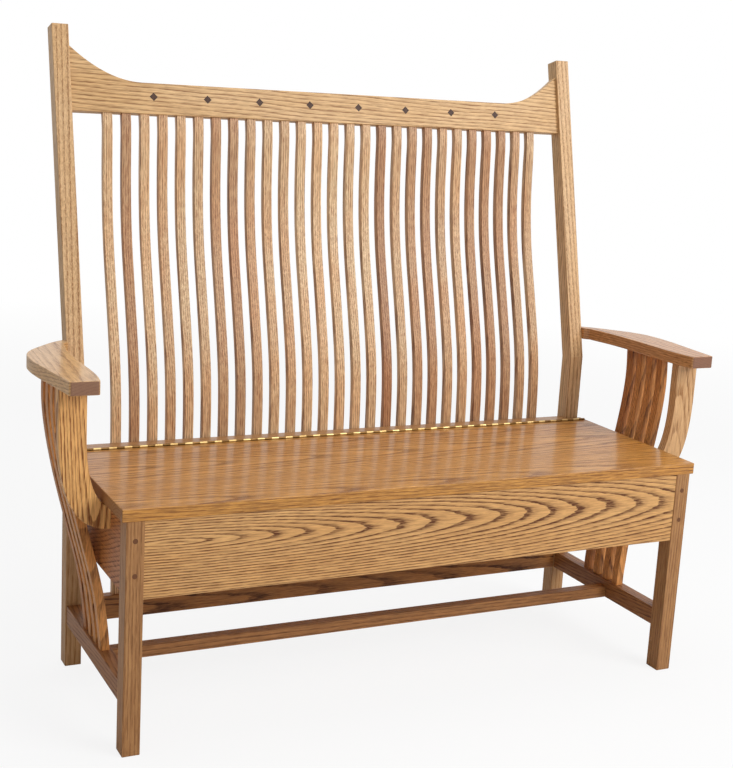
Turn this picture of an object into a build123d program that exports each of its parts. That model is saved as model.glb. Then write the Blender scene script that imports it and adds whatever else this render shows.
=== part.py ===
from build123d import *
from math import atan2, cos, degrees, radians, sin
import os

# Mission settle: a high-backed oak bench with a storage box under its hinged seat.
# Sizes are in millimetres. X runs along the seat, Y to the back, Z up. The model is drawn
# with x = 0 in the middle, y = 0 at the front of the front legs and z = 0 on the floor.

# Overall sizes
frame_length = 1203.0       # across the outer faces of the legs
frame_depth = 451.0         # front of the front legs to the back of the back posts, at the floor
seat_height = 457.0         # floor to the top of the lid
back_height = 1271.0        # floor to the front top edge of the back posts

# Posts and legs
leg_width = 33.0            # along X, front and back alike
front_leg_depth = 37.0
back_post_depth = 36.0
bend_height = 602.0         # the back posts stand upright to here, then lean back
rake_angle = 13.7           # degrees
leg_ease = 1.5              # radius on the long edges of legs and posts

# Fits
joint_gap = 0.1             # round every tenon, peg, inlay and screw
panel_gap = 0.3             # above and round the bottom panel in its grooves
tenon_thickness = 8.0
tenon_shoulder = 5.0        # what a tenon is narrower than its rail, on each edge
rail_ease = 1.2             # radius on the long edges of rails and stretchers

# Crest rail
crest_recess = 7.7          # its face behind the faces of the posts
crest_thickness = 22.0
crest_end_drop = 38.3       # from the top of the post to the top of the rail's upswept end
crest_end_height = 129.7
crest_middle_height = 62.8
crest_sweep = 147.0         # length of each upswept end
crest_tenon_length = 15.0
inlay_count = 8
inlay_pitch = 114.3
inlay_width = 17.0          # across the corners of the diamond
inlay_length = 17.0
inlay_depth = 3.0
inlay_rise = 35.0           # centre of the diamond above the rail's lower edge

# Lower back rail
back_rail_bottom = 91.0
back_rail_height = 50.0
back_rail_thickness = 22.0
back_rail_tenon_length = 11.0

# Back slats
slat_count = 27
slat_pitch = 38.1
slat_width = 19.0
slat_thickness = 14.0
slat_setback = 6.0          # front of a slat's foot behind the face of the lower rail
slat_tenon_width = 13.0
slat_tenon_length = 14.0
slat_ease = 1.0
# The front of a slat: share of its rise, share of its lean
slat_curve_shares = [
    (0.154, 0.095), (0.310, 0.163), (0.393, 0.187), (0.476, 0.262), (0.559, 0.413), (0.642, 0.587),
    (0.724, 0.758), (0.807, 0.875), (0.890, 0.930),
]

# Box: aprons, back board and bottom panel
apron_height = 143.0
front_apron_recess = 1.5    # behind the faces of the front legs
front_apron_thickness = 20.0
front_apron_tenon_length = 24.0
side_apron_recess = 6.0     # inside the outer faces of the legs
side_apron_thickness = 18.0
side_apron_tenon_length = 12.0
back_board_thickness = 16.0
back_board_tenon_length = 11.0
panel_thickness = 10.0
panel_rise = 6.0            # from the lower edges of the aprons to the panel
groove_depth = 6.0

# Pegs through the front legs
peg_diameter = 9.5
peg_length = 20.0
peg_drops = (35.0, 98.5)    # centres below the top of the leg

# Stretchers
side_stretcher_bottom = 91.0
side_stretcher_height = 38.5
side_stretcher_recess = 2.0
side_stretcher_thickness = 28.0
side_stretcher_tenon_length = 12.0
long_stretcher_front = 207.0
long_stretcher_thickness = 26.0
long_stretcher_height = 24.0
long_stretcher_tenon_length = 12.0

# Seat lid and the fixed strip behind it
lid_thickness = 23.0
lid_overhang = 8.0          # beyond the legs at each end
lid_front_overhang = 1.6
lid_ease = 2.0
strip_front_depth = 23.3    # in front of the back posts
strip_back_depth = 21.0     # between the back posts

# Piano hinge
knuckle_count = 77
knuckle_play = 0.4          # between neighbouring knuckles
barrel_radius = 2.2
pin_radius = 1.1
pin_play = 0.05
leaf_thickness = 1.0
leaf_height = 18.0
leaf_space = 0.4            # between the closed leaves
barrel_clearance = 0.15     # from the barrel to the wood and to the other leaf
hinge_inset = 6.0           # from the end of the lid to the end of the hinge
screw_count = 12
screw_pitch = 104.0
screw_head_radius = 2.8
screw_head_height = 1.6
screw_radius = 1.5
screw_length = 16.0

# Arms
arm_height = 668.0          # floor to the top of the arm
arm_thickness = 25.0
arm_front = 65.0            # front of the arm behind the front of the legs
arm_end_setback = 30.0      # back end of the arm behind the faces of the upright posts
arm_heel_setback = 5.0      # where the arm steps in to the post, behind the same faces
arm_bow = 105.0             # widest point of the arm outside the legs
arm_inner_bow = 21.0        # how far the inner edge runs outward towards the front
arm_clearance = 2.0         # between the inner edge of the arm and the end of the lid
arm_ease = 5.0
arm_tenon_width = 10.0
arm_tenon_length = 12.0
# The arm's edges: share of the bow, share of the arm's length from its front
arm_outer_shares = [
    (0.8, 0.0), (0.867, 0.171), (0.933, 0.316), (0.99, 0.461), (1.0, 0.579), (0.962, 0.671),
    (0.876, 0.737), (0.743, 0.797), (0.543, 0.868), (0.343, 0.934), (0.19, 0.975), (0.076, 1.0),
]
arm_inner_shares = [
    (0.0, 0.911), (0.056, 0.882), (0.222, 0.829), (0.5, 0.726), (0.64, 0.618), (0.667, 0.421),
    (0.62, 0.250), (0.70, 0.120), (1.0, 0.0),
]

# Bracket posts under the fronts of the arms
arm_post_front = 119.0
arm_post_thickness = 22.0
arm_post_reach = 89.0       # outer face of the bracket outside the legs, at the arm
arm_post_width = 50.0       # across the bracket, at the arm
arm_post_foot_height = 43.0
arm_post_drop = 6.0         # top of the foot below the lid
arm_post_ease = 1.5
arm_post_tenon_length = 10.0
# Each edge of the bracket leaves the apron level, turns up in one cubic curve and ends upright.
# Shares of the reach and of the rise: first handle, last handle, height where the curve ends
arm_post_outer_shares = (0.84, 0.365, 0.73)
arm_post_inner_shares = (0.61, 0.361, 0.604)

# Side slats under the arms
side_slat_count = 4
side_slat_pitch = 36.0
side_slat_setback = 176.0   # from the front of the legs to the first slat's foot
side_slat_thickness = 17.0
side_slat_lean = 22.0       # from the foot back to the top, along Y
side_slat_bow = 80.0        # from the foot out to the top of the outer face
side_slat_trim = 5.0        # drawn beyond each end, then cut off level
# The outer face of a side slat: share of the height below or above the apron's lower edge, share
# of the bow
side_slat_low_shares = [(0.343, 0.060), (0.515, 0.100), (0.734, 0.175), (0.938, 0.263)]
side_slat_high_shares = [
    (0.074, 0.375), (0.246, 0.563), (0.389, 0.713), (0.527, 0.838), (0.681, 0.950), (0.816, 1.008),
    (0.905, 1.012),
]

# How many steps the offset of a curve is worked out in
offset_steps = 16

# Places that follow from the sizes
half_length = frame_length / 2
inner_half = half_length - leg_width
post_front = frame_depth - back_post_depth
lid_bottom = seat_height - lid_thickness
box_bottom = lid_bottom - apron_height
panel_bottom = box_bottom + panel_rise
box_span = (box_bottom, lid_bottom)
back_rail_top = back_rail_bottom + back_rail_height
side_stretcher_top = side_stretcher_bottom + side_stretcher_height
arm_bottom = arm_height - arm_thickness
arm_end = post_front + arm_end_setback
peg_x = leg_width / 2 - half_length
seam_half = leaf_space / 2 + leaf_thickness
pin_y = post_front - strip_front_depth - seam_half
barrel_reach = barrel_radius + barrel_clearance
pin_z = seat_height + (barrel_reach**2 - seam_half**2) ** 0.5
hinge_length = frame_length + 2 * (lid_overhang - hinge_inset)

# The raked frame: its y = 0 is the raked face of the posts, its z = 0 the bend
rake = Pos(0, post_front, bend_height) * Rot(-rake_angle, 0, 0)
post_run = (back_height - bend_height) / cos(radians(rake_angle))
crest_bottom = post_run - crest_end_drop - crest_end_height
crest_centre = crest_recess + crest_thickness / 2


# Wood that fills the space between three pairs of limits
def board(x, y, z):
    size = Box(x[1] - x[0], y[1] - y[0], z[1] - z[0], align=(Align.MIN, Align.MIN, Align.MIN))
    return Pos(x[0], y[0], z[0]) * size


# The hole that a board or tenon fits
def socket(x, y, z):
    return board(*[(low - joint_gap, high + joint_gap) for low, high in (x, y, z)])


def span(centre, width):
    return (centre - width / 2, centre + width / 2)


def within(limits, margin):
    return (limits[0] + margin, limits[1] - margin)


def centre_of(limits):
    return (limits[0] + limits[1]) / 2


def ease_along(piece, axis, radius):
    return fillet(piece.edges().filter_by(axis), radius)


def mirrored(piece):
    return mirror(piece, about=Plane.YZ)


# A face of even thickness along a curve; side is the direction that the curve turns about
def lath_face(curve, thickness, side):
    steps = [index / offset_steps for index in range(offset_steps + 1)]
    ends = [curve % 0, curve % 1]
    points = [curve @ step + (curve % step).cross(side) * thickness for step in steps]
    offset_curve = Spline(*points, tangents=ends)
    first = Line(offset_curve @ 0, curve @ 0)
    last = Line(curve @ 1, offset_curve @ 1)
    return make_face([curve, last, offset_curve, first])


# Tenons, each given by its limits so that the mortise can be cut from the same values
def front_apron_tenon():
    x = (-inner_half - front_apron_tenon_length, -inner_half)
    y = span(front_apron_recess + front_apron_thickness / 2, tenon_thickness)
    return (x, y, within(box_span, tenon_shoulder))


def side_apron_tenons():
    x = span(side_apron_recess + side_apron_thickness / 2 - half_length, tenon_thickness)
    z = within(box_span, tenon_shoulder)
    front = (front_leg_depth - side_apron_tenon_length, front_leg_depth)
    back = (post_front, post_front + side_apron_tenon_length)
    return [(x, front, z), (x, back, z)]


def back_board_tenon():
    x = (-inner_half - back_board_tenon_length, -inner_half)
    y = span(post_front + back_board_thickness / 2, tenon_thickness)
    return (x, y, within(box_span, tenon_shoulder))


def back_rail_tenon():
    x = (-inner_half - back_rail_tenon_length, -inner_half)
    y = span(post_front + back_rail_thickness / 2, tenon_thickness)
    return (x, y, within((back_rail_bottom, back_rail_top), tenon_shoulder))


def side_stretcher_x():
    near = side_stretcher_recess - half_length
    return (near, near + side_stretcher_thickness)


def side_stretcher_tenons():
    x = span(centre_of(side_stretcher_x()), tenon_thickness)
    z = within((side_stretcher_bottom, side_stretcher_top), tenon_shoulder)
    front = (front_leg_depth - side_stretcher_tenon_length, front_leg_depth)
    back = (post_front, post_front + side_stretcher_tenon_length)
    return [(x, front, z), (x, back, z)]


def long_stretcher_tenon():
    inner = side_stretcher_x()[1]
    x = (inner - long_stretcher_tenon_length, inner)
    y = span(long_stretcher_front + long_stretcher_thickness / 2, tenon_thickness)
    top = side_stretcher_bottom + long_stretcher_height
    return (x, y, within((side_stretcher_bottom, top), tenon_shoulder))


# In the raked frame
def crest_tenon():
    x = (-inner_half - crest_tenon_length, -inner_half)
    y = span(crest_centre, tenon_thickness)
    return (x, y, within((crest_bottom, crest_bottom + crest_end_height), tenon_shoulder * 2))


def slat_places():
    return [(index - (slat_count - 1) / 2) * slat_pitch for index in range(slat_count)]


def slat_foot_tenon(x):
    y = post_front + slat_setback + slat_thickness / 2
    foot = (back_rail_top - slat_tenon_length, back_rail_top)
    return (span(x, slat_tenon_width), span(y, tenon_thickness), foot)


# In the raked frame
def slat_head_tenon(x):
    head = (crest_bottom, crest_bottom + slat_tenon_length)
    return (span(x, slat_tenon_width), span(crest_centre, tenon_thickness), head)


def side_slat_places():
    return [side_slat_setback + index * side_slat_pitch for index in range(side_slat_count)]


def side_slat_tenons(front):
    foot_x = centre_of(side_stretcher_x())
    foot_y = front + slat_width / 2
    head_y = foot_y + side_slat_lean
    foot = (side_stretcher_top - slat_tenon_length, side_stretcher_top)
    head = (arm_bottom, arm_bottom + slat_tenon_length)
    return [
        (span(foot_x, tenon_thickness), span(foot_y, slat_tenon_width), foot),
        (span(foot_x - side_slat_bow, tenon_thickness), span(head_y, slat_tenon_width), head),
    ]


def arm_post_tenons():
    y = span(arm_post_front + arm_post_thickness / 2, arm_post_thickness - 2 * tenon_shoulder)
    apron_face = side_apron_recess - half_length
    foot_top = lid_bottom - arm_post_drop
    foot = (foot_top - arm_post_foot_height, foot_top)
    outer = -half_length - arm_post_reach
    across = (outer, outer + arm_post_width)
    return [
        ((apron_face, apron_face + arm_post_tenon_length), y, within(foot, tenon_shoulder * 2)),
        (within(across, tenon_shoulder * 2), y, (arm_bottom, arm_bottom + arm_post_tenon_length)),
    ]


def arm_tenon():
    x = (-half_length, arm_tenon_length - half_length)
    y = (arm_end - arm_tenon_width, arm_end)
    return (x, y, within((arm_bottom, arm_height), tenon_shoulder))


def peg(drop, gap):
    shank = Cylinder(peg_diameter / 2 + gap, peg_length + gap, align=(Align.CENTER, Align.CENTER, Align.MIN))
    return Pos(peg_x, 0, lid_bottom - drop) * Rot(-90, 0, 0) * shank


# Legs and posts
def front_leg():
    leg = board((-half_length, -inner_half), (0, front_leg_depth), (0, lid_bottom))
    leg = fillet(leg.edges() - leg.faces().sort_by(Axis.Z)[-1].edges(), leg_ease)
    leg -= [socket(*front_apron_tenon()), socket(*side_apron_tenons()[0])]
    leg -= socket(*side_stretcher_tenons()[0])
    return leg - [peg(drop, joint_gap) for drop in peg_drops]


def back_post():
    lean = Vector(0, sin(radians(rake_angle)), cos(radians(rake_angle)))
    across = Vector(0, lean.Z, -lean.Y)
    bend = Vector(-half_length, post_front, bend_height)
    top = bend + lean * post_run
    back_bend_drop = back_post_depth * (1 - lean.Z) / lean.Y
    outline = Polyline(
        (-half_length, post_front, 0),
        bend,
        top,
        top + across * back_post_depth,
        (-half_length, frame_depth, bend_height - back_bend_drop),
        (-half_length, frame_depth, 0),
        close=True,
    )
    post = extrude(make_face(outline), amount=leg_width, dir=(1, 0, 0))
    cross_edges = post.edges().filter_by(Axis.X).sort_by(Axis.Z)
    post = fillet(post.edges() - cross_edges[2:4], leg_ease)
    post -= [socket(*side_apron_tenons()[1]), socket(*side_stretcher_tenons()[1])]
    post -= [socket(*back_board_tenon()), socket(*back_rail_tenon()), socket(*arm_tenon())]
    return post - rake * socket(*crest_tenon())


# Back: crest rail, inlays, lower rail and slats
def inlay(index, gap):
    x = (index - (inlay_count - 1) / 2) * inlay_pitch
    centre = Vector(x, crest_recess, crest_bottom + inlay_rise)
    across = Vector(inlay_width / 2 + gap, 0, 0)
    along = Vector(0, 0, inlay_length / 2 + gap)
    corners = [centre + across, centre + along, centre - across, centre - along]
    return extrude(make_face(Polyline(*corners, close=True)), amount=inlay_depth + gap, dir=(0, 1, 0))


def crest_rail():
    middle = crest_bottom + crest_middle_height
    end = crest_bottom + crest_end_height
    level = inner_half - crest_sweep
    # A quadratic curve that leaves the level middle gently and steepens to the end
    corner = inner_half - crest_sweep / 2
    y = crest_recess
    outline = [
        Line((-inner_half, y, crest_bottom), (inner_half, y, crest_bottom)),
        Line((inner_half, y, crest_bottom), (inner_half, y, end)),
        Bezier((inner_half, y, end), (corner, y, middle), (level, y, middle)),
        Line((level, y, middle), (-level, y, middle)),
        Bezier((-level, y, middle), (-corner, y, middle), (-inner_half, y, end)),
        Line((-inner_half, y, end), (-inner_half, y, crest_bottom)),
    ]
    rail = extrude(make_face(outline), amount=crest_thickness, dir=(0, 1, 0))
    faces = rail.faces().sort_by(Axis.Y)
    edges = faces[0].edges() + faces[-1].edges()
    rail = fillet(edges - edges.filter_by(Axis.Z), rail_ease)
    rail += [board(*crest_tenon()), mirrored(board(*crest_tenon()))]
    rail -= [socket(*slat_head_tenon(x)) for x in slat_places()]
    rail -= [inlay(index, joint_gap) for index in range(inlay_count)]
    return rake * rail


def diamond_inlays():
    return [rake * inlay(index, 0) for index in range(inlay_count)]


def lower_back_rail():
    y = (post_front, post_front + back_rail_thickness)
    rail = board((-inner_half, inner_half), y, (back_rail_bottom, back_rail_top))
    rail = ease_along(rail, Axis.X, rail_ease)
    rail += [board(*back_rail_tenon()), mirrored(board(*back_rail_tenon()))]
    return rail - [socket(*slat_foot_tenon(x)) for x in slat_places()]


def back_slat():
    foot = Vector(0, post_front + slat_setback, back_rail_top)
    head_place = rake * Pos(0, crest_centre - slat_thickness / 2, crest_bottom)
    head = head_place.position
    rise = head.Z - foot.Z
    lean = head.Y - foot.Y
    knots = [foot + Vector(0, lean * across, rise * up) for up, across in slat_curve_shares]
    lean_way = Vector(0, sin(radians(rake_angle)), cos(radians(rake_angle)))
    front = Spline(foot, *knots, head, tangents=[(0, 0, 1), lean_way])
    face = lath_face(front, slat_thickness, Vector(1, 0, 0))
    slat = extrude(face, amount=slat_width / 2, dir=(1, 0, 0), both=True)
    slat = fillet(slat.edges().filter_by(GeomType.BSPLINE), slat_ease)
    return slat + [board(*slat_foot_tenon(0)), rake * board(*slat_head_tenon(0))]


# Box under the seat
def panel_groove(x, y):
    return board(x, y, (panel_bottom, panel_bottom + panel_thickness + panel_gap))


def front_apron():
    y = (front_apron_recess, front_apron_recess + front_apron_thickness)
    apron = board((-inner_half, inner_half), y, box_span)
    apron = ease_along(apron, Axis.X, rail_ease)
    tenon = board(*front_apron_tenon()) - [peg(drop, joint_gap) for drop in peg_drops]
    apron += [tenon, mirrored(tenon)]
    return apron - panel_groove((-inner_half, inner_half), (y[1] - groove_depth, y[1]))


def side_apron():
    near = side_apron_recess - half_length
    x = (near, near + side_apron_thickness)
    y = (front_leg_depth, post_front)
    apron = board(x, y, box_span)
    apron = ease_along(apron, Axis.Y, rail_ease)
    apron += [board(*tenon) for tenon in side_apron_tenons()]
    apron -= socket(*arm_post_tenons()[0])
    return apron - panel_groove((x[1] - groove_depth, x[1]), y)


def box_back_board():
    y = (post_front, post_front + back_board_thickness)
    back = board((-inner_half, inner_half), y, box_span)
    back += [board(*back_board_tenon()), mirrored(board(*back_board_tenon()))]
    return back - panel_groove((-inner_half, inner_half), (y[0], y[0] + groove_depth))


def box_bottom_panel():
    edge = side_apron_recess + side_apron_thickness - groove_depth + panel_gap
    front = front_apron_recess + front_apron_thickness - groove_depth + panel_gap
    back = post_front + groove_depth - panel_gap
    z = (panel_bottom, panel_bottom + panel_thickness)
    panel = board((edge - half_length, half_length - edge), (front, back), z)
    notch_x = (-half_length, panel_gap - inner_half)
    front_notch = board(notch_x, (0, front_leg_depth + panel_gap), z)
    back_notch = board(notch_x, (post_front - panel_gap, frame_depth), z)
    return panel - [front_notch, back_notch, mirrored(front_notch), mirrored(back_notch)]


def leg_pegs():
    pegs = [peg(drop, 0) for drop in peg_drops]
    return pegs + [mirrored(shank) for shank in pegs]


# Stretchers
def side_stretcher():
    z = (side_stretcher_bottom, side_stretcher_top)
    stretcher = board(side_stretcher_x(), (front_leg_depth, post_front), z)
    stretcher = ease_along(stretcher, Axis.Y, rail_ease)
    stretcher += [board(*tenon) for tenon in side_stretcher_tenons()]
    stretcher -= [socket(*side_slat_tenons(front)[0]) for front in side_slat_places()]
    return stretcher - socket(*long_stretcher_tenon())


def long_stretcher():
    inner = side_stretcher_x()[1]
    y = (long_stretcher_front, long_stretcher_front + long_stretcher_thickness)
    z = (side_stretcher_bottom, side_stretcher_bottom + long_stretcher_height)
    stretcher = ease_along(board((inner, -inner), y, z), Axis.X, rail_ease)
    return stretcher + [board(*long_stretcher_tenon()), mirrored(board(*long_stretcher_tenon()))]


# Seat lid and strip
def lid_and_strip_x():
    return (-half_length - lid_overhang, half_length + lid_overhang)


def seat_lid():
    y = (-lid_front_overhang, pin_y - seam_half)
    lid = board(lid_and_strip_x(), y, (lid_bottom, seat_height))
    return fillet(lid.edges(), lid_ease) - lid_screws(joint_gap)


def seat_back_strip():
    z = (lid_bottom, seat_height)
    strip = board(lid_and_strip_x(), (pin_y + seam_half, post_front), z)
    strip = ease_along(strip, Axis.Y, lid_ease)
    strip += board((-inner_half, inner_half), (post_front, post_front + strip_back_depth), z)
    return strip - fixed_screws(joint_gap)


# Piano hinge: leaves between the lid and the strip, with the barrel standing on the seam
def leaf_plate():
    top = pin_z - barrel_reach
    return board(span(0, hinge_length), (leaf_space / 2, seam_half), (top - leaf_height, top))


def leaf_knuckle(index):
    length = hinge_length / knuckle_count
    neck = Pos(centre_of((leaf_space / 2, seam_half)), -barrel_reach / 2)
    section = Circle(barrel_radius) + neck * Rectangle(leaf_thickness, barrel_reach)
    section -= Circle(pin_radius + pin_play)
    start = index * length - hinge_length / 2 + knuckle_play / 2
    return Pos(start, 0, pin_z) * extrude(Plane.YZ * section, amount=length - knuckle_play)


def hinge_leaf(first):
    return leaf_plate() + [leaf_knuckle(index) for index in range(first, knuckle_count, 2)]


def screw(index, gap):
    low = (Align.CENTER, Align.CENTER, Align.MIN)
    head = Cone(screw_head_radius + gap, screw_radius + gap, screw_head_height, align=low)
    shank = Cylinder(screw_radius + gap, screw_length + gap, align=low)
    x = (index - (screw_count - 1) / 2) * screw_pitch
    z = pin_z - barrel_reach - leaf_height / 2
    return Pos(x, leaf_space / 2, z) * Rot(-90, 0, 0) * (head + shank)


def facing_lid(piece):
    return mirror(piece, about=Plane.XZ)


def at_pin(piece):
    return Pos(0, pin_y, 0) * piece


def fixed_screws(gap):
    return [at_pin(screw(index, gap)) for index in range(screw_count)]


def lid_screws(gap):
    return [at_pin(facing_lid(screw(index, gap))) for index in range(screw_count)]


def hinge_fixed_leaf():
    return at_pin(hinge_leaf(0)) - fixed_screws(joint_gap)


def hinge_lid_leaf():
    return at_pin(facing_lid(hinge_leaf(1))) - lid_screws(joint_gap)


def hinge_pin():
    return Pos(0, pin_y, pin_z) * Rot(0, 90, 0) * Cylinder(pin_radius, hinge_length)


# Arms, their bracket posts and side slats
def arm():
    length = arm_end - arm_front
    inner_start = lid_overhang + arm_clearance
    outer = [(-half_length - arm_bow * out, arm_front + length * back) for out, back in arm_outer_shares]
    inner = [
        (-half_length - inner_start - arm_inner_bow * out, arm_front + length * back)
        for out, back in arm_inner_shares
    ]
    heel = (-half_length, post_front + arm_heel_setback)
    end = (-half_length, arm_end)
    outline = [
        Spline(*outer),
        Line(outer[-1], end),
        Line(end, heel),
        Line(heel, inner[0]),
        Spline(*inner),
        Line(inner[-1], outer[0]),
    ]
    top = Pos(0, 0, arm_bottom) * extrude(make_face(outline), amount=arm_thickness)
    front_corners = top.edges().filter_by(Axis.Z).group_by(Axis.Y)[0]
    top = fillet(front_corners, arm_ease)
    faces = top.faces().sort_by(Axis.Z)
    rims = faces[0].edges() + faces[-1].edges()
    heel_edges = rims.filter_by(GeomType.LINE).filter_by_position(Axis.Y, arm_front + length / 2, arm_end)
    top = fillet(rims - heel_edges, leg_ease)
    top += board(*arm_tenon())
    top -= socket(*arm_post_tenons()[1])
    return top - [socket(*side_slat_tenons(front)[1]) for front in side_slat_places()]


# The edge of a bracket from the apron at height low out to x = face and up to the arm
def bracket_edge(low, face, shares):
    y = arm_post_front
    start = side_apron_recess - half_length
    first_handle, last_handle, curve_end = shares
    rise = arm_bottom - low
    knee = low + rise * curve_end
    curve = Bezier(
        (start, y, low),
        (start + (face - start) * first_handle, y, low),
        (face, y, knee - rise * last_handle),
        (face, y, knee),
    )
    return [curve, Line((face, y, knee), (face, y, arm_bottom))]


def arm_post():
    outer_face = -half_length - arm_post_reach
    inner_face = outer_face + arm_post_width
    foot_top = lid_bottom - arm_post_drop
    outer = bracket_edge(foot_top - arm_post_foot_height, outer_face, arm_post_outer_shares)
    inner = bracket_edge(foot_top, inner_face, arm_post_inner_shares)
    top = Line(outer[-1] @ 1, inner[-1] @ 1)
    foot = Line(outer[0] @ 0, inner[0] @ 0)
    post = extrude(make_face([*outer, top, *inner, foot]), amount=arm_post_thickness, dir=(0, 1, 0))
    curved = post.edges().filter_by(GeomType.BEZIER) + post.edges().filter_by(GeomType.BSPLINE)
    upright = post.edges().filter_by(Axis.Z).sort_by(Axis.Z)[2:]
    post = fillet(curved + upright, arm_post_ease)
    return post + [board(*tenon) for tenon in arm_post_tenons()]


# Drawn upright and a little too long, leaned back about its foot, then cut level at both ends
def side_slat(front):
    rise = arm_bottom - side_stretcher_top
    low_rise = box_bottom - side_stretcher_top
    foot_x = centre_of(side_stretcher_x()) - side_slat_thickness / 2
    foot = Vector(foot_x, 0, 0)
    head = Vector(foot_x - side_slat_bow, 0, rise)
    heights = [(low_rise * up, out) for up, out in side_slat_low_shares]
    heights += [(low_rise + (rise - low_rise) * up, out) for up, out in side_slat_high_shares]
    knots = [Vector(foot_x - side_slat_bow * out, 0, height) for height, out in heights]
    beyond = Vector(0, 0, side_slat_trim)
    points = [foot - beyond, foot, *knots, head, head + beyond]
    outer = Spline(*points, tangents=[(0, 0, 1), (0, 0, 1)])
    face = lath_face(outer, side_slat_thickness, Vector(0, -1, 0))
    slat = extrude(face, amount=slat_width, dir=(0, 1, 0))
    slat = fillet(slat.edges().filter_by(GeomType.BSPLINE), slat_ease)
    lean_angle = degrees(atan2(side_slat_lean, rise))
    slat = Pos(0, front, side_stretcher_top) * Rot(-lean_angle, 0, 0) * slat
    slat &= board((-frame_length, 0), (0, frame_depth), (side_stretcher_top, arm_bottom))
    return slat + [board(*tenon) for tenon in side_slat_tenons(front)]


def all_pieces():
    side_slats = [side_slat(front) for front in side_slat_places()]
    left = {
        "back_post": back_post(),
        "front_leg": front_leg(),
        "side_apron": side_apron(),
        "side_stretcher": side_stretcher(),
        "arm": arm(),
        "arm_post": arm_post(),
    }
    pieces = {
        "crest_rail": crest_rail(),
        "diamond_inlays": Compound(diamond_inlays()),
        "lower_back_rail": lower_back_rail(),
        "front_apron": front_apron(),
        "box_back_board": box_back_board(),
        "box_bottom_panel": box_bottom_panel(),
        "leg_pegs": Compound(leg_pegs()),
        "long_stretcher": long_stretcher(),
        "seat_lid": seat_lid(),
        "seat_back_strip": seat_back_strip(),
        "hinge_fixed_leaf": hinge_fixed_leaf(),
        "hinge_lid_leaf": hinge_lid_leaf(),
        "hinge_pin": hinge_pin(),
        "hinge_fixed_screws": Compound(fixed_screws(0)),
        "hinge_lid_screws": Compound(lid_screws(0)),
        "left_side_slats": Compound(side_slats),
        "right_side_slats": Compound([mirrored(slat) for slat in side_slats]),
    }
    for name, piece in left.items():
        pieces["left_" + name] = piece
        pieces["right_" + name] = mirrored(piece)
    slat = back_slat()
    for index, x in enumerate(slat_places()):
        pieces[f"back_slat_{index + 1:02d}"] = Pos(x, 0, 0) * slat
    return pieces


# The settle's origin lies on the floor under the middle of its overall size
back_reach = (rake * Pos(0, back_post_depth, post_run)).position.Y
to_origin = Pos(0, (lid_front_overhang - back_reach) / 2, 0)

os.makedirs("parts", exist_ok=True)
for name, piece in all_pieces().items():
    export_step(to_origin * piece, f"parts/{name}.step")

print("shift in y", to_origin.position.Y)
print("hinge pin", pin_y + to_origin.position.Y, pin_z)
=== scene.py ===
from math import cos, radians, sin

import bpy
from mathutils import Matrix, Vector

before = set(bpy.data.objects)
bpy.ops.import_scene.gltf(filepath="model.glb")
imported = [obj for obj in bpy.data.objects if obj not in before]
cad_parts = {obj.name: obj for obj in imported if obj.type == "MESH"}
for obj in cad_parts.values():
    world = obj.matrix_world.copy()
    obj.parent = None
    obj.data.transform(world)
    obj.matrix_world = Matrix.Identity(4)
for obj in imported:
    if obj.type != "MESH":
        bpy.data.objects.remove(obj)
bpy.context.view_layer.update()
print("frame loaded,", len(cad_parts), "pieces")


# a colour given as 0-255, in the linear values that a shader takes
def paint(red, green, blue):
    def channel(level):
        share = level / 255
        return share / 12.92 if share <= 0.04045 else ((share + 0.055) / 1.055) ** 2.4
    return (channel(red), channel(green), channel(blue), 1)


# shader maths
class Wire:
    def __init__(self, finish, socket):
        self.finish = finish
        self.socket = socket

    def sum(self, operation, *values):
        return self.finish.node("ShaderNodeMath", {"operation": operation}, dict(enumerate(values)))

    def __add__(self, other):
        return self.sum("ADD", self, other)

    def __sub__(self, other):
        return self.sum("SUBTRACT", self, other)

    def __rsub__(self, other):
        return self.sum("SUBTRACT", other, self)

    def __mul__(self, other):
        return self.sum("MULTIPLY", self, other)

    def __truediv__(self, other):
        return self.sum("DIVIDE", self, other)

    def __pow__(self, other):
        return self.sum("POWER", self, other)

    def __abs__(self):
        return self.sum("ABSOLUTE", self)

    def floor(self):
        return self.sum("FLOOR", self)

    def fract(self):
        return self.sum("FRACT", self)

    def atLeast(self, low):
        return self.sum("MAXIMUM", self, low)

    __radd__ = __add__
    __rmul__ = __mul__


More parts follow.
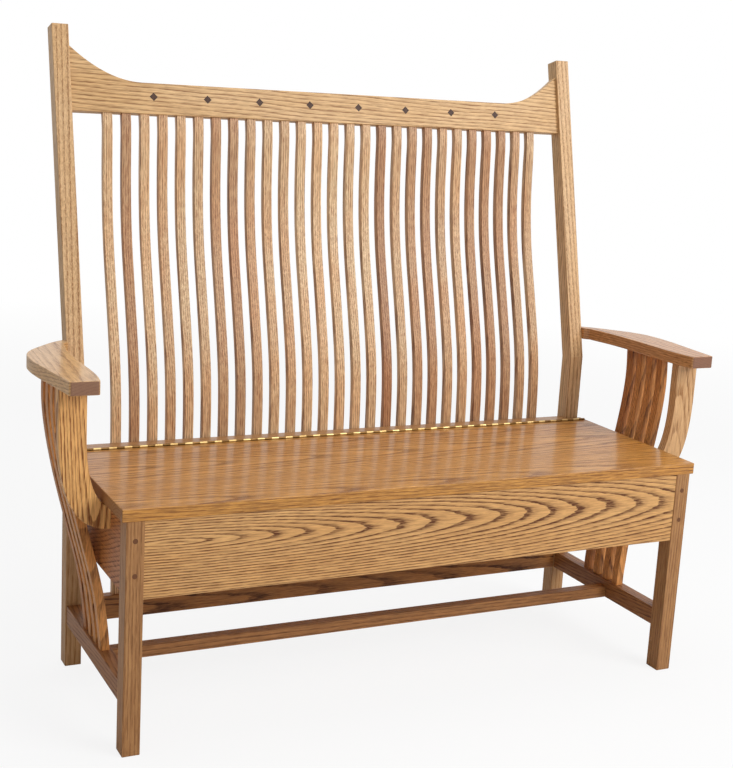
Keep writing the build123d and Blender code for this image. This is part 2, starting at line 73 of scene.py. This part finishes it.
class Finish:
    def __init__(self, name):
        self.material = bpy.data.materials.new(name)
        self.material.use_nodes = True
        self.tree = self.material.node_tree
        self.tree.nodes.clear()

    # a node of any kind: its settings first, then its sockets by name or number
    def node(self, kind, settings=None, inputs=None, out=0):
        made = self.tree.nodes.new(kind)
        for key, value in (settings or {}).items():
            if key == "stops":
                self.setStops(made.color_ramp, value)
            else:
                setattr(made, key, value)
        for key, value in (inputs or {}).items():
            if isinstance(value, Wire):
                self.tree.links.new(value.socket, made.inputs[key])
            else:
                made.inputs[key].default_value = value
        return Wire(self, made.outputs[out])

    def setStops(self, ramp, stops):
        while len(ramp.elements) < len(stops):
            ramp.elements.new(0.5)
        for element, (place, level) in zip(ramp.elements, stops):
            element.position = place
            element.color = (level, level, level, 1)

    def ramp(self, value, *stops):
        return self.node("ShaderNodeValToRGB", {"stops": stops}, {"Fac": value})

    def stretch(self, vector, amounts):
        return self.node("ShaderNodeVectorMath", {"operation": "MULTIPLY"}, {0: vector, 1: amounts})

    def noise(self, vector, detail=2.0, roughness=0.5):
        sockets = {"Vector": vector, "Scale": 1.0, "Detail": detail, "Roughness": roughness}
        return self.node("ShaderNodeTexNoise", None, sockets)

    def chance(self, number, shift):
        return self.node("ShaderNodeTexWhiteNoise", {"noise_dimensions": "1D"}, {"W": number + shift})

    def mix(self, factor, first, second, blend="MIX"):
        settings = {"data_type": "RGBA", "blend_type": blend}
        return self.node("ShaderNodeMix", settings, {0: factor, 6: first, 7: second}, out=2)

    # the surface itself, with its constant values on its own sockets
    def surface(self, **sockets):
        named = {key.replace("_", " "): value for key, value in sockets.items()}
        self.endWith(self.node("ShaderNodeBsdfPrincipled", None, named))

    def endWith(self, shader):
        output = self.tree.nodes.new("ShaderNodeOutputMaterial")
        self.tree.links.new(shader.socket, output.inputs["Surface"])


def giveTo(finish, names):
    for name in names:
        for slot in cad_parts[name].material_slots:
            slot.material = finish.material


# oak and walnut
# along: the grain's direction
# bothSides: the left and right pieces mirror each other
# pith: where the tree's centre lay, in the two directions across the grain
# tilt: how the pith drifts from the grain
# rings, wander, waver: the growth rings' spacing and how far they stray, in metres
# figure, streaks, flecks, pores, blotch: how strongly each mark shows
# strips: (direction, width, start) of boards or slats side by side, each from its own tree
# swing, slide, contrast: how far the strips differ in pith, place along the tree and shade
# lean: (height, slope) of a piece that leans back above that height
# heartwood: (full below, gone above, strength) of painted shade, the colour darkened towards the foot below
# the seat
acrossOf = {"X": ("Y", "Z"), "Y": ("X", "Z"), "Z": ("X", "Y")}


# noise laid along the grain: waves per metre along it and across it, then detail and roughness
grainNoise = {
    "broad": (2.2, 11, 2.0, 0.5), "narrow": (13, 120, 3.0, 0.6), "dash": (34, 1150, 1.0, 0.5),
    "fleck": (26, 430, 2.0, 0.6), "streak": (7, 260, 3.0, 0.6), "grit": (60, 620, 2.0, 0.7),
    "blotch": (3.5, 17, 3.0, 0.6),
}

# (place, strength) pairs that turn a noise or the time of year into a mark
marks = {
    "early": ((0.0, 0.0), (0.05, 0.95), (0.2, 0.9), (0.36, 0.3), (0.62, 0.02), (1.0, 0.0)),
    "dash": ((0.0, 0.0), (0.48, 0.0), (0.62, 1.0)),
    "fleck": ((0.0, 0.0), (0.47, 0.0), (0.59, 1.0)),
    "streak": ((0.32, 0.0), (0.7, 1.0)),
    "grit": ((0.4, 0.0), (0.6, 1.0)),
    "blotch": ((0.34, 0.0), (0.68, 1.0)),
    "end": ((0.72, 0.0), (0.94, 1.0)),
}
redder = (0.72, 1.0, 1.12)    # how much each colour is darkened in the darkest strip


def stretchAlong(along, lengthwise, crosswise):
    return tuple(lengthwise if axis == along else crosswise for axis in "XYZ")


def woodFinish(name, look):
    wood = Finish(name)
    along = look["along"]
    place = wood.node("ShaderNodeTexCoord", out="Object")
    axes = {axis: wood.node("ShaderNodeSeparateXYZ", None, {0: place}, out=index)
            for index, axis in enumerate("XYZ")}

    def noiseOf(kind):
        lengthwise, crosswise, detail, roughness = grainNoise[kind]
        return wood.noise(wood.stretch(place, stretchAlong(along, lengthwise, crosswise)), detail, roughness)

    def markOf(kind, value):
        return wood.ramp(value, *marks[kind])

    length = axes[along]
    first, second = [axes[axis] for axis in acrossOf[along]]
    if look["bothSides"]:
        first = abs(first)
    if "lean" in look:
        start, slope = look["lean"]
        second = second - (length - start).atLeast(0.0) * slope

    firstPith, secondPith = look["pith"]
    firstTilt, secondTilt = look["tilt"]
    if "strips" in look:
        direction, width, start = look["strips"]
        strip = ((axes[direction] - start) / width).floor()
        tone = wood.chance(strip, 0.37 + look["seed"])
        swing = wood.chance(strip, 7.71 + look["seed"]) - 0.5
        middle = (strip + 0.5) * width + start
        if acrossOf[along][0] == direction:
            first = first - middle + swing * look["swing"]
        else:
            second = second - middle + swing * look["swing"]
        length = length + swing * look["slide"]

    broad = noiseOf("broad") - 0.5
    narrow = noiseOf("narrow") - 0.5
    drift = broad * look["wander"] + narrow * look["waver"]
    side = first - firstPith + length * firstTilt + drift
    depth = second - secondPith + length * secondTilt + drift * 0.6
    radius = (side * side + depth * depth) ** 0.5
    rings = radius / look["rings"]
    season = rings.fract()
    early = markOf("early", season)
    strength = wood.chance(rings.floor(), 3.1 + look["seed"]) * 0.6 + 0.65

    # pores are short dark dashes, thickest in the early wood of each year
    dash = markOf("dash", noiseOf("dash"))
    fleck = markOf("fleck", noiseOf("fleck"))
    streak = markOf("streak", noiseOf("streak"))
    grit = markOf("grit", noiseOf("grit"))
    blotch = noiseOf("blotch")
    pore = dash * (early * 0.7 + 0.3)

    figure = early * strength * (fleck * 0.6 + grit * 0.5 + 0.5) * look["figure"]
    colour = wood.mix((streak * 0.75 + grit * 0.4) * look["streaks"], look["light"], look["dark"])
    colour = wood.mix(markOf("blotch", blotch) * look["blotch"], colour, look["warm"])
    colour = wood.mix(fleck * look["flecks"], colour, look["dark"])
    colour = wood.mix(figure, colour, look["dark"])
    colour = wood.mix(pore * look["pores"], colour, look["pore"])
    if "strips" in look:
        # the darker strips are the redder ones
        darkest = tuple(1 - look["contrast"] * share for share in redder) + (1,)
        colour = wood.mix(1.0, colour, wood.mix(tone, darkest, (1, 1, 1, 1)), "MULTIPLY")
    # painted shade: the colour is darkened towards the foot, below the seat, as if shaded there
    if "heartwood" in look:
        low, high, strength = look["heartwood"]
        near = wood.ramp(axes["Z"] + broad * 0.12, (low, strength), (high, 0.0))
        colour = wood.mix(near, colour, look["dark"])

    # cut ends drink more stain
    facing = wood.node("ShaderNodeTexCoord", out="Normal")
    toward = wood.node("ShaderNodeSeparateXYZ", None, {0: facing}, out="XYZ".index(along))
    end = markOf("end", abs(toward))
    colour = wood.mix(end * look["ends"], colour, look["endColour"])

    relief = streak * 0.2 - pore * 0.8 - figure * 0.3 - fleck * 0.2
    sockets = {"Height": relief, "Strength": look["relief"], "Distance": 0.0004}
    bump = wood.node("ShaderNodeBump", None, sockets)
    gloss = look["roughness"] + pore * 0.16 + end * 0.15 + figure * 0.1 + (blotch - 0.5) * 0.12
    wood.surface(Base_Color=colour, Roughness=gloss, Normal=bump, Specular_IOR_Level=look["specular"],
                 Coat_Weight=look["coat"], Coat_Roughness=look["coatRoughness"], Coat_IOR=1.45)
    return wood


oakLook = {
    "along": "X", "bothSides": False, "pith": (0.0, 0.0), "tilt": (0.01, 0.02), "rings": 0.0042,
    "wander": 0.012, "waver": 0.0028, "figure": 0.6, "streaks": 0.35, "flecks": 0.3, "pores": 0.5,
    "blotch": 0.35, "seed": 0.0, "light": paint(214, 172, 124), "dark": paint(150, 100, 54),
    "pore": paint(84, 48, 22), "warm": paint(200, 148, 90), "ends": 0.75, "endColour": paint(126, 84, 54),
    "relief": 0.5, "roughness": 0.44, "specular": 0.3, "coat": 0.12, "coatRoughness": 0.25,
}


def oak(name, names, **changes):
    giveTo(woodFinish(name, {**oakLook, **changes}), names)


backSlats = [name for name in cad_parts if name.startswith("back_slat")]
raked = {"lean": (0.602, 0.2438)}    # the posts lean back from this height by this slope
# The pieces under the seat take darker oak tones than the crest, posts and slats above: painted shade, not
# darker wood
oak("crestOak", ["crest_rail"], along="X", pith=(0.12, 0.93), tilt=(0.03, 0.03), rings=0.0082,
    wander=0.02, figure=0.55, streaks=0.22, light=paint(230, 190, 136), dark=paint(130, 82, 34),
    warm=paint(208, 158, 92))
# the posts carry painted shade below the seat
oak("postOak", ["left_back_post", "right_back_post"], along="Z", bothSides=True, pith=(0.545, 0.16),
    tilt=(0.008, -0.012), rings=0.0062, figure=0.6, light=paint(234, 196, 148), dark=paint(146, 98, 50),
    warm=paint(212, 162, 100), heartwood=(0.34, 0.5, 0.55), seed=2.0, **raked)
oak("slatOak", backSlats, along="Z", pith=(0.25, 0.19), tilt=(0.012, 0.0), rings=0.0048,
    strips=("X", 0.0381, -0.01905), swing=0.14, slide=3.0, contrast=0.55, figure=0.6, streaks=0.45,
    flecks=0.35, blotch=0.45, light=paint(254, 226, 180), dark=paint(146, 88, 44), warm=paint(234, 166, 106))
# the lower back rail and box back board are given darker tones as painted shade under the seat
oak("backRailOakPaintedShade", ["lower_back_rail", "box_back_board"], along="X", pith=(0.06, 0.1), tilt=(0.035, 0.01),
    rings=0.006, figure=0.75, light=paint(200, 138, 78), dark=paint(78, 40, 12), warm=paint(170, 108, 54))
# the tree's centre crosses the apron at this place and depth, at this slope, which draws the arches
arches = {"place": -0.53, "depth": -0.304, "slope": 0.077}
oak("apronOak", ["front_apron"], along="X", tilt=(arches["slope"], 0.012),
    pith=(arches["place"] * arches["slope"] + arches["depth"], 0.384),
    rings=0.005, wander=0.009, waver=0.0026, figure=0.95, streaks=0.24, flecks=0.22, blotch=0.35,
    light=paint(230, 178, 114), dark=paint(92, 46, 10), warm=paint(202, 142, 74))
# the side aprons' darker tones are painted shade under the seat
oak("sideApronOakPaintedShade", ["left_side_apron", "right_side_apron"], along="Y", bothSides=True,
    pith=(0.5, 0.18), tilt=(0.1, 0.3), rings=0.0068, figure=0.8, light=paint(196, 124, 66),
    dark=paint(96, 48, 16), warm=paint(172, 98, 46))
oak("panelOak", ["box_bottom_panel"], along="X", pith=(0.0, 0.2), tilt=(0.02, 0.03), rings=0.006,
    strips=("Y", 0.1, 0.0), swing=0.05, slide=2.0, contrast=0.16)
# the front legs' darker tones are painted shade below the seat
oak("legOakPaintedShade", ["left_front_leg", "right_front_leg"], along="Z", bothSides=True, pith=(0.5, -0.22),
    tilt=(0.02, 0.03), rings=0.0048, figure=0.45, flecks=0.4, light=paint(182, 134, 84),
    dark=paint(120, 74, 36), warm=paint(164, 110, 60), seed=5.0)
# the side stretchers' darker tones are painted shade under the seat
oak("stretcherOakPaintedShade", ["left_side_stretcher", "right_side_stretcher"], along="Y", bothSides=True,
    pith=(0.5, 0.02), tilt=(0.03, 0.05), rings=0.0056, light=paint(172, 116, 66), dark=paint(88, 48, 20),
    warm=paint(148, 92, 48))
# the long stretcher's darker tones are painted shade under the seat
oak("longStretcherOakPaintedShade", ["long_stretcher"], along="X", pith=(0.0, 0.02), tilt=(0.02, 0.03), rings=0.0056,
    light=paint(190, 134, 80), dark=paint(96, 56, 26), warm=paint(164, 106, 56))
oak("seatOak", ["seat_lid"], along="X", pith=(0.0, 0.385), tilt=(0.0, 0.03), rings=0.0062,
    strips=("Y", 0.0978, -0.3073), swing=0.14, slide=1.2, contrast=0.12, wander=0.014, figure=0.6,
    streaks=0.5, flecks=0.45, light=paint(222, 160, 76), dark=paint(122, 70, 14), warm=paint(196, 128, 46),
    roughness=0.42, coat=0.36, coatRoughness=0.16, relief=0.5)
oak("stripOak", ["seat_back_strip"], along="X", pith=(0.02, 0.40), tilt=(0.01, 0.02), rings=0.0048,
    light=paint(186, 138, 86), dark=paint(124, 78, 38), warm=paint(168, 116, 64), coat=0.4,
    coatRoughness=0.2)
armLook = {
    "along": "Y", "bothSides": True, "pith": (0.60, 0.50), "tilt": (0.03, 0.02), "rings": 0.0052,
    "figure": 0.45, "ends": 0.85, "endColour": paint(118, 80, 64), "coat": 0.5, "coatRoughness": 0.18,
}
# both arms are the same oak: the left arm's lighter colours are a painted reflection and the right arm's
# darker colours are painted shade
oak("leftArmOakPaintedReflection", ["left_arm"], light=paint(232, 188, 130), dark=paint(146, 94, 42),
    warm=paint(212, 154, 84), **armLook)
oak("rightArmOakPaintedShade", ["right_arm"], light=paint(216, 160, 104), dark=paint(112, 62, 22),
    warm=paint(192, 126, 66), **armLook)
oak("leftArmPostOak", ["left_arm_post"], along="Z", pith=(-0.62, -0.13), tilt=(0.012, 0.06),
    rings=0.0054, figure=0.8, light=paint(255, 198, 124), dark=paint(128, 70, 20), warm=paint(222, 154, 82))
oak("rightArmPostOak", ["right_arm_post"], along="Z", pith=(0.655, -0.21), tilt=(0.012, 0.06), rings=0.0052,
    wander=0.007, figure=0.6, light=paint(226, 184, 136), dark=paint(156, 106, 58), warm=paint(206, 156, 98))
oak("sideSlatOak", ["left_side_slats", "right_side_slats"], along="Z", bothSides=True, pith=(0.63, 0.25),
    tilt=(0.01, 0.02), rings=0.005, strips=("Y", 0.036, -0.1297), swing=0.12, slide=2.0, contrast=0.3,
    figure=0.6, light=paint(240, 168, 94), dark=paint(92, 48, 14), warm=paint(192, 118, 54))
print("oak finished")

walnutLook = {
    **oakLook, "along": "Z", "pith": (0.02, 0.05), "rings": 0.0016, "figure": 0.45, "pores": 0.6,
    "light": paint(78, 44, 22), "dark": paint(38, 20, 8), "pore": paint(18, 9, 4), "coat": 0.0,
    "warm": paint(64, 34, 16), "endColour": paint(48, 26, 12), "wander": 0.004, "waver": 0.0006,
}
giveTo(woodFinish("walnut", walnutLook), ["diamond_inlays"])
giveTo(woodFinish("pegWood", {
    **walnutLook, "along": "Y", "light": paint(132, 86, 52), "dark": paint(84, 50, 26),
    "warm": paint(112, 70, 40), "pore": paint(54, 30, 16), "endColour": paint(104, 64, 38),
}), ["leg_pegs"])


# brass
def brassFinish(name, look):
    brass = Finish(name)
    place = brass.node("ShaderNodeTexCoord", out="Object")
    cloud = brass.noise(brass.stretch(place, (26, 60, 60)), 3.0)
    scratch = brass.noise(brass.stretch(place, (60, 2600, 2600)), 2.0)
    tarnish = brass.ramp(cloud, (0.35, 0.0), (0.7, 1.0))
    colour = brass.mix(tarnish * 0.7, look["bright"], look["dull"])
    bump = brass.node("ShaderNodeBump", None, {"Height": scratch, "Strength": 0.25, "Distance": 0.0001})
    gloss = tarnish * 0.16 + scratch * 0.12 + look["roughness"]
    brass.surface(Base_Color=colour, Metallic=1.0, Roughness=gloss, Normal=bump)
    return brass


# every second knuckle belongs to the lid's leaf and is given bright brass as a painted highlight; the fixed
# leaf, its screws and the pin get dull brass as painted shade
giveTo(brassFinish("paintedHighlightBrass", {
    "bright": paint(230, 206, 146), "dull": paint(188, 152, 90), "roughness": 0.3,
}), ["hinge_lid_leaf", "hinge_lid_screws"])
giveTo(brassFinish("paintedShadeBrass", {
    "bright": paint(150, 116, 70), "dull": paint(96, 68, 36), "roughness": 0.4,
}), ["hinge_fixed_leaf", "hinge_fixed_screws", "hinge_pin"])
print("walnut and brass finished")


# floor, background and light
studio = {
    "floorSize": 30.0, "floorColour": (0.86, 0.86, 0.86, 1), "skyLight": 0.34,
    "floorWhite": 0.86, "whiteFrom": 0.08, "whiteTo": 0.16,
}

bpy.ops.object.select_all(action="DESELECT")
bpy.ops.mesh.primitive_plane_add(size=studio["floorSize"])
floor = bpy.context.object
floor.name = "studioFloor"
paper = Finish("paper")
diffuse = paper.node("ShaderNodeBsdfDiffuse", None, {"Color": studio["floorColour"]})
glow = paper.node("ShaderNodeEmission", None, {"Color": (1, 1, 1, 1), "Strength": 1.0})
seen = paper.node("ShaderNodeLightPath", out="Is Camera Ray")
spot = paper.node("ShaderNodeTexCoord", out="Object")
away = paper.node("ShaderNodeVectorMath", {"operation": "LENGTH"}, {0: spot}, out="Value")
# the floor keeps the shadow near the settle and is plain white further off
near = (studio["whiteFrom"], studio["floorWhite"])
far = (studio["whiteTo"], 1.0)
fade = paper.ramp(away / studio["floorSize"], near, far)
paper.endWith(paper.node("ShaderNodeMixShader", None, {0: seen * fade, 1: diffuse, 2: glow}))
floor.data.materials.append(paper.material)

world = bpy.data.worlds.new("studio")
bpy.context.scene.world = world
world.use_nodes = True
links = world.node_tree.links
nodes = world.node_tree.nodes
nodes.clear()
path = nodes.new("ShaderNodeLightPath")
direct = nodes.new("ShaderNodeMath")
direct.operation = "MAXIMUM"
links.new(path.outputs["Is Camera Ray"], direct.inputs[0])
links.new(path.outputs["Is Glossy Ray"], direct.inputs[1])
level = nodes.new("ShaderNodeMapRange")
level.inputs["To Min"].default_value = studio["skyLight"]
level.inputs["To Max"].default_value = 1.0
links.new(direct.outputs[0], level.inputs["Value"])
sky = nodes.new("ShaderNodeBackground")
sky.inputs["Color"].default_value = (1, 1, 1, 1)
links.new(level.outputs["Result"], sky.inputs["Strength"])
links.new(sky.outputs[0], nodes.new("ShaderNodeOutputWorld").inputs["Surface"])

lamps = {
    "keyLamp": {"place": (2.3, -3.4, 2.9), "aim": (0.1, 0.0, 0.6), "size": 2.6, "power": 150},
    "fillLamp": {"place": (-3.2, -2.4, 2.0), "aim": (0.0, 0.0, 0.6), "size": 3.0, "power": 9},
    "topLamp": {"place": (0.2, 0.6, 3.6), "aim": (0.0, 0.0, 0.4), "size": 2.6, "power": 40},
}
for name, lamp in lamps.items():
    light = bpy.data.lights.new(name, "AREA")
    light.size = lamp["size"]
    light.energy = lamp["power"]
    holder = bpy.data.objects.new(name, light)
    holder.location = lamp["place"]
    holder.rotation_euler = (Vector(lamp["aim"]) - Vector(lamp["place"])).to_track_quat("-Z", "Y").to_euler()
    bpy.context.scene.collection.objects.link(holder)
print("studio lit")


# camera, at the photograph's place
view = {
    "place": (-1.2391, -2.4695, 1.1638), "heading": 26.469, "pitch": -11.839, "roll": 3.262,
    "lens": 64.108, "sensor": 36.0,
}


def aimCamera(view):
    heading, pitch, roll = [radians(view[key]) for key in ("heading", "pitch", "roll")]
    ahead = Vector((sin(heading) * cos(pitch), cos(heading) * cos(pitch), sin(pitch)))
    level = ahead.cross(Vector((0, 0, 1))).normalized()
    upright = level.cross(ahead)
    right = level * cos(roll) + upright * sin(roll)
    up = upright * cos(roll) - level * sin(roll)
    data = bpy.data.cameras.new("photoCamera")
    data.lens = view["lens"]
    data.sensor_width = view["sensor"]
    camera = bpy.data.objects.new("photoCamera", data)
    turn = Matrix((right, up, -ahead)).transposed().to_4x4()
    camera.matrix_world = Matrix.Translation(view["place"]) @ turn
    bpy.context.scene.collection.objects.link(camera)
    bpy.context.scene.camera = camera


aimCamera(view)
bpy.context.scene.view_settings.view_transform = "Standard"
print("camera set")
